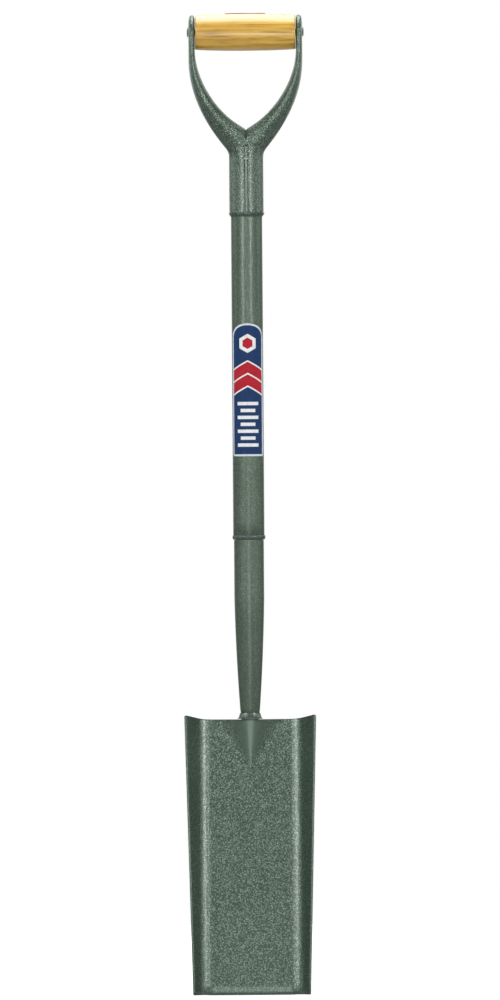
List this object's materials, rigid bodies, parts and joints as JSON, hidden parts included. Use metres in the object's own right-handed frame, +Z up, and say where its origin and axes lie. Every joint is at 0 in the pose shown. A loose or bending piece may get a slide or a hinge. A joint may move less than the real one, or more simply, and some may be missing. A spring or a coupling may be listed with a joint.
{
  "type": "cable laying shovel",
  "caption": "Narrow steel trenching shovel: channel-shaped blade, tapered socket, tubular shaft and D handle with a riveted wooden grip.",
  "frame": {"origin": "middle of the cutting edge's end face", "axes": "+Z up along the shaft, +X to the right as seen from the hollow face of the blade, which looks towards -Y"},
  "size_m": [0.1342, 0.0923, 0.9942],
  "materials": {
    "painted_steel": "dark green hammered enamel, half gloss",
    "varnished_wood": "clear varnish over pale hardwood",
    "label_print": "printed film in blue, red and silver",
    "label_red": "printed film"
  },
  "bodies": {
    "root": {"blade_plate": "painted_steel", "socket": "painted_steel", "socket_foot_weld": "painted_steel", "tail_weld": "painted_steel", "shaft_tube": "painted_steel", "shaft_socket_weld": "painted_steel", "hilt_arm_left": "painted_steel", "hilt_arm_right": "painted_steel", "hilt_seam_weld_front": "painted_steel", "hilt_seam_weld_rear": "painted_steel", "hilt_ring_weld": "painted_steel", "grip": "varnished_wood", "grip_rivet": "painted_steel", "shaft_label": "label_print", "grip_label": "label_red"}
  },
  "joints": []
}
